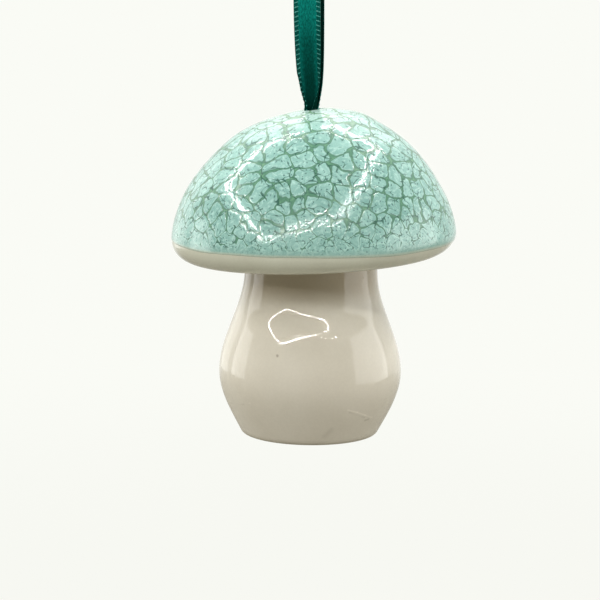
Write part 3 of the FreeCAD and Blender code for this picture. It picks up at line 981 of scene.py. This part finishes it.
share = np.linspace(BUNDLE_PLACES[0], BUNDLE_PLACES[-1], 120)
knot_line = np.stack([share ** 3 - 3 * share, share ** 4 - 4 * share ** 2 + 2, share ** 5 - 10 * share], 1)
knot_line *= KNOT_SIZES
ends = np.clip((np.abs(share) - EXIT_START) / EXIT_LENGTH, 0, 1)[:, None] ** 2
knot_line[:, :2] = knot_line[:, :2] * (1 - ends) + KNOT_EXIT * (share[:, None] > 0) * ends
bundle_wide, bundle_thick = (np.interp(share, BUNDLE_PLACES, sizes) for sizes in (BUNDLE_WIDE, BUNDLE_THICK))
knot_points, knot_faces = swept(knot_line + KNOT_CENTRE, bundle_wide, bundle_thick, 20)
knot_points = inside_hole(knot_points)
fall = np.linspace(0, 1, 36)
for side, length, lean in TAILS:
    tail_line = np.stack([side * TAIL_SWAY * np.sin(fall * 3), side * (TAIL_APART + lean * fall ** 1.6),
                          TAIL_TOP - length * fall], 1)
    tail_rows, tail_normals = [], []
    for place, along, down in zip(tail_line, unit(np.gradient(tail_line, axis=0)), fall):
        turn = math.radians(TAIL_TURN - TAIL_UNCURL * min(1, down * 1.6))
        section = curled(turn, turn * 0.8, TAIL_FLAT, 21)
        cut = TAIL_CUT * section[:, :1] / RIBBON_WIDTH * down ** 4
        row, normal = section_row(place, section, SIDEWAYS, np.cross(along, SIDEWAYS), side)
        tail_rows.append(row + cut * along)
        tail_normals.append(normal)
    tail_points, tail_faces = closed_strip(np.array(tail_rows), np.array(tail_normals))
    knot_faces += [tuple(len(knot_points) + v for v in face) for face in tail_faces]
    knot_points = np.concatenate([knot_points, tail_points])
knot = face_outwards(mesh_object("ribbon_overhand_knot", knot_points, knot_faces))
print("knot faces", len(knot_faces), "size", np.round(np.ptp(knot_points, axis=0) * 1000, 1), "mm")

# %% [markdown]
# ## Picot stitches
# Along both edges of satin ribbon the weft loops round the last warp threads, and shows as
# a row of small pale bars. They repeat along a line, so Geometry Nodes place them: each
# edge becomes a curve, the curve is measured off at the stitch pitch, and a small ring is
# set on every mark with its long side across the ribbon.

# %% Picot tree
PICOT_RISE, PICOT_SET_IN = 0.00008, 0.5
PICOT_LEAN, PICOT_FORM = (0.0, -0.3, 0.0), (1.0, 0.24, 1.2)
stitch_sizes = {"Pitch": 0.001, "Reach": 0.0005, "Thread": 0.0001}
picots, given, picots_out = geometry_group("picot_stitches", stitch_sizes)
edge_curve = given["Mesh"].then("GeometryNodeMeshToCurve", {"Mesh": given["Mesh"]})
marks = edge_curve.then("GeometryNodeResampleCurve", {"Curve": edge_curve, "Length": given["Pitch"]},
                        mode="LENGTH")
tangent = Value(node(picots, "GeometryNodeInputTangent"))
upright = tangent.then("FunctionNodeAlignRotationToVector", {"Vector": tangent}, axis="Z")
facing = upright.then("FunctionNodeAlignRotationToVector",
                      {"Rotation": upright, "Vector": named(picots, "edge_across", "FLOAT_VECTOR")},
                      axis="X", pivot_axis="Z")
ring_line, thread = (size.then("GeometryNodeCurvePrimitiveCircle", {"Resolution": count, "Radius": size})
                     for count, size in ((10, given["Reach"]), (6, given["Thread"])))
ring_mesh = thread.then("GeometryNodeCurveToMesh", {"Curve": ring_line, "Profile Curve": thread})
flat_ring = ring_mesh.then("GeometryNodeTransform",
                           {"Geometry": ring_mesh, "Rotation": PICOT_LEAN, "Scale": PICOT_FORM})
placed = marks.then("GeometryNodeInstanceOnPoints",
                    {"Points": marks, "Instance": flat_ring, "Rotation": facing})
smooth = placed.then("GeometryNodeSetShadeSmooth", {"Geometry": placed})
finish_tree(smooth, given["Paint"], picots_out)
edge_points, edge_vectors = [], []
for outer_row, inner_row in ((2, 3), (-3, -4)):
    inward = rows[:, inner_row] - rows[:, outer_row]
    edge_points.append(rows[:, outer_row] + inward * PICOT_SET_IN - PICOT_RISE * normals[:, outer_row])
    edge_vectors.append(inward)
edge_links = [(k, k + 1) for k in range(2 * len(rows) - 1) if k != len(rows) - 1]
picot_piece = mesh_object("selvedge_picots", np.concatenate(edge_points), [], edge_links)
paint_points(picot_piece, "edge_across", np.concatenate(edge_vectors))
print("picot tree", len(picots.nodes), "nodes")

# %% [markdown]
# ## Satin
# Satin shows long parallel floats of warp thread, so it shines across its width and is dark
# where it curls away. The material reads the strip's own measure, across and along, so the
# fine ribs follow the curl. One node group makes the floats for the strip, the knot and the
# picot thread.

# %% Satin float group
floats, given, floats_out = new_group("ShaderNodeTree", "satin_floats",
                                      {"Place": "Vector", "Deep": "Color", "Bright": "Color"},
                                      {"Colour": "Color", "Ribs": "Float"})
ribs = given["Place"].noise(1.0, 3.0, 0.7)
set_inputs(floats_out, {"Colour": ribs.step(0.36, 0.66).mix(given["Deep"], given["Bright"]), "Ribs": ribs})
print("float group", len(floats.nodes), "nodes")

# %% [markdown]
# ## Three satins
# The strip's satin also reads the painted light: its hollow and the side that faces the other
# strand are painted a deep green shade without gloss, and its selvedges are a deep green of
# their own. The knot and the picot thread are too small to show floats, so a fine even grain
# stands for theirs.

# %% Satin materials
SELVEDGE, UNLIT = (0.0006, 0.040, 0.032, 1), (0.0007, 0.021, 0.0150, 1)
GLOSS, GLOSS_TINT = 0.35, (0.05, 0.85, 0.72, 1)
SHEEN, SHEEN_TINT, SHEEN_ROUGHNESS = 0.25, (0.2, 0.75, 0.65, 1), 0.4
FLOAT_STRETCH, GRAIN_STRETCH = (4.0, 1.2, 1.0), (4000.0, 4000.0, 4000.0)


def satin(name, deep, bright, woven=False):
    """A deep satin. A woven one has floats along the strip, dark selvedges and painted shade."""
    made, tree, shader = material(name)
    if woven:
        place, stretch = painted(tree, "weave_place", "Vector"), FLOAT_STRETCH
    else:
        place, stretch = Value(node(tree, "ShaderNodeTexCoord"), "Object"), GRAIN_STRETCH
    stretched = place.then("ShaderNodeMapping", {"Vector": place, "Scale": stretch})
    weave_parts = grouped(tree, floats, {"Place": stretched, "Deep": deep, "Bright": bright})
    colour, ribs = weave_parts["Colour"], weave_parts["Ribs"]
    gloss, sheen = GLOSS, SHEEN
    if woven:
        selvedge = place.part("X").calc("ABSOLUTE").step(2.0, 2.35, 0.0, 0.75)
        lit = painted(tree, "lit")
        colour = lit.mix(UNLIT, selvedge.mix(colour, SELVEDGE))
        gloss, sheen = lit * gloss, lit * sheen
    set_inputs(shader, {"Base Color": colour, "Roughness": ribs.step(0.2, 0.8, 0.34, 0.46),
                        "Normal": ribs.bump(0.00004, 0.6), "Specular IOR Level": gloss,
                        "Specular Tint": GLOSS_TINT, "Sheen Weight": sheen,
                        "Sheen Roughness": SHEEN_ROUGHNESS, "Sheen Tint": SHEEN_TINT})
    return made


ribbon.data.materials.append(satin("satin_ribbon", (0.001, 0.110, 0.092, 1), (0.006, 0.300, 0.255, 1), True))
knot.data.materials.append(satin("knotted_ribbon", (0.001, 0.085, 0.068, 1), (0.003, 0.170, 0.140, 1)))
picot_paint = satin("picot_thread", (0.035, 0.23, 0.20, 1), (0.11, 0.37, 0.33, 1))
apply_tree(picot_piece, picots, {"Pitch": 0.00110, "Reach": 0.00052, "Thread": 0.00012, "Paint": picot_paint})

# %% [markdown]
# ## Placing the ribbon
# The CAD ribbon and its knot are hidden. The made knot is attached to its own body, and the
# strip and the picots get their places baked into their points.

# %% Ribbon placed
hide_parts("hanging_ribbon")
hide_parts("ribbon_knot")
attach(knot, "knot")
for piece in (ribbon, picot_piece):
    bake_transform(piece)

# %% [markdown]
# ## The backdrop's light
# The ornament hangs in front of a pale wall over a pale floor, which lies a little below the
# foot. The camera sees both in the wall's own colour. The world gives light by direction:
# as bright as the wall behind the ornament, and dim from the room in front of it, which is
# why the front of the gloss stays dark.

# %% World
WALL, ROOM = (0.956, 0.965, 0.915, 1), (0.062, 0.050, 0.034, 1)


def seen_directly(tree):
    """A share of 1 for what the camera itself sees, with the light path node that it's read from."""
    rays = node(tree, "ShaderNodeLightPath")
    return Value(rays, "Is Camera Ray").calc("MAXIMUM", Value(rays, "Is Transmission Ray")), rays


bpy.context.scene.view_settings.view_transform = "Standard"
world = bpy.data.worlds.new("pale_room")
bpy.context.scene.world = world
world.use_nodes = True
tree = world.node_tree
by_side = Value(node(tree, "ShaderNodeTexCoord"), "Generated").part("Y").step(0.05, 0.50).mix(ROOM, WALL)
seen, _ = seen_directly(tree)
set_inputs(tree.nodes["Background"], {"Color": seen.mix(by_side, WALL), "Strength": 1.0})
print("world ready")

# %% [markdown]
# ## The floor
# The floor is the wall's colour to the camera and keeps a soft shadow. To the ornament it is
# a duller floor, so that the underside and the foot stay darker than the sides.

# %% Floor
FLOOR_HEIGHT, FLOOR_HALF = -0.06, 3.0
FLOOR_COLOUR = (0.262, 0.250, 0.216, 1)
quarters = ((-1, -1), (1, -1), (1, 1), (-1, 1))
floor_corners = [(x * FLOOR_HALF, y * FLOOR_HALF, FLOOR_HEIGHT) for x, y in quarters]
ground = mesh_object("floor", floor_corners, [(0, 1, 2, 3)])
ground.data.shade_flat()
ground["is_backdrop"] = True
floor_paint, tree, shader = material("pale_floor")
set_inputs(shader, {"Base Color": FLOOR_COLOUR, "Roughness": 0.9, "Specular IOR Level": 0.1})
glow = node(tree, "ShaderNodeEmission", {"Color": WALL, "Strength": 1.0})
seen, rays = seen_directly(tree)
place = Value(node(tree, "ShaderNodeTexCoord"), "Object")
plain = place.vector("LENGTH", output="Value").step(0.12, 0.40, 0.95, 1.0)
seen = seen.calc("MAXIMUM", Value(rays, "Is Glossy Ray") * place.part("Y").step(0.15, 0.45))
blend = node(tree, "ShaderNodeMixShader", {0: seen * plain, 1: Value(shader), 2: Value(glow)})
set_inputs(tree.nodes["Material Output"], {"Surface": Value(blend)})
ground.data.materials.append(floor_paint)
print("floor ready")

# %% [markdown]
# ## Lamps
# Two big soft panels stand at the sides, and a ring of narrow lamps hangs round overhead.
# The ring's mirror image is the broken white line on the cap, and a small copy of it lies on
# the stem. In front the ring is a row of short dashes, each brighter than a whole side, so
# that the light stays the same. A few small upright lamps under it give the short glints
# inside the ring's image. Each lamp's place is given as seen from the ornament: degrees to
# the right of the camera's side, and degrees up.

# %% Lamps
LAMP_CENTRE = Vector((0, 0, 0.055))
PANEL_DISTANCE, PANEL_COLOUR = 0.5, (1.0, 0.99, 0.96)
PANELS = [("right_panel", 54, 116, -22, 25, 2.1), ("left_panel", -87, -114, -12, 16, 2.0),
          ("left_wall", -124, -150, -25, 30, 0.8), ("back_panel", 145, 215, 28, 62, 1.6)]
RING = [(-43, 15.5), (-56, 26), (-72, 33), (-88, 37), (-109, 36), (-127, 54), (-148, 63), (-165, 66),
        (165, 61), (148, 60), (128, 49), (92, 57), (51, 51), (28, 40), (13, 35), (-13, 29), (-33, 18)]
RING_DISTANCE, STRIP_WIDTH, RING_BRIGHTNESS, STRIP_COLOUR = 0.6, 0.007, 102.0, (1.0, 0.985, 0.95)
DASH_PITCH, DASH_SHARE, BROKEN = 0.037, 0.42, (0, 1, 13, 14, 15, 16)
SMALL_WIDTH = 0.0040
SMALL_LAMPS = [(-24, 26.0, 31, 70), (-20, 26.5, 31, 70), (-16, 27.5, 31, 70), (-12, 28.5, 31, 70),
               (15, 29.8, 30.8, 120), (22, 28.4, 29.2, 120), (33, 27.0, 29.0, 120), (38, 26.0, 28.4, 120)]


def seen_at(right, up, distance):
    """The place at a direction, in degrees, and a distance from the ornament."""
    right, up = math.radians(right), math.radians(up)
    level = math.cos(up)
    return LAMP_CENTRE + distance * Vector((level * math.sin(right), -level * math.cos(right), math.sin(up)))


def area_lamp(name, centre, along, wide, tall, brightness, colour):
    """A rectangular lamp that faces the ornament, with its width along the given direction."""
    data = bpy.data.lights.new(name, "AREA")
    data.shape = "RECTANGLE"
    data.size, data.size_y = wide, tall
    data.energy = brightness * math.pi * wide * tall
    data.color = colour
    away = (centre - LAMP_CENTRE).normalized()
    across = (along - away * along.dot(away)).normalized()
    made = bpy.data.objects.new(name, data)
    facing_in = Matrix((across, away.cross(across), away)).transposed()
    made.matrix_world = Matrix.Translation(centre) @ facing_in.to_4x4()
    made.visible_camera = False
    bpy.context.scene.collection.objects.link(made)


for name, first, last, low, high, brightness in PANELS:
    span = seen_at(last, 0, PANEL_DISTANCE) - seen_at(first, 0, PANEL_DISTANCE)
    middle = seen_at((first + last) / 2, (low + high) / 2, PANEL_DISTANCE)
    tall = PANEL_DISTANCE * math.radians(high - low)
    area_lamp(name, middle, span, span.length, tall, brightness, PANEL_COLOUR)
corners = [seen_at(right, up, RING_DISTANCE) for right, up in RING]
ring_lamps = 0
for k, (first, last) in enumerate(zip(corners, corners[1:] + corners[:1])):
    span = last - first
    parts, share = (max(1, round(span.length / DASH_PITCH)), DASH_SHARE) if k in BROKEN else (1, 1.0)
    for part in range(parts):
        ring_lamps += 1
        area_lamp(f"ring_lamp_{ring_lamps}", first.lerp(last, (part + 0.5) / parts), span,
                  span.length / parts * share, STRIP_WIDTH, RING_BRIGHTNESS / share, STRIP_COLOUR)
for k, (right, low, high, brightness) in enumerate(SMALL_LAMPS):
    before, centre, after = (seen_at(right + turn, (low + high) / 2, RING_DISTANCE) for turn in (-1, 0, 1))
    tall = RING_DISTANCE * math.radians(high - low)
    area_lamp(f"small_lamp_{k + 1}", centre, after - before, SMALL_WIDTH, tall, brightness, STRIP_COLOUR)
print(ring_lamps, "ring lamps and", len(SMALL_LAMPS), "small ones")

# %% [markdown]
# ## Sizes
# The box round the finished pieces is printed in millimetres. The finished pieces have
# to stay in the CAD model's box.

# %% Finish
low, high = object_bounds()
print("visual box", [round(v * 1000, 1) for v in (*low, *high)])
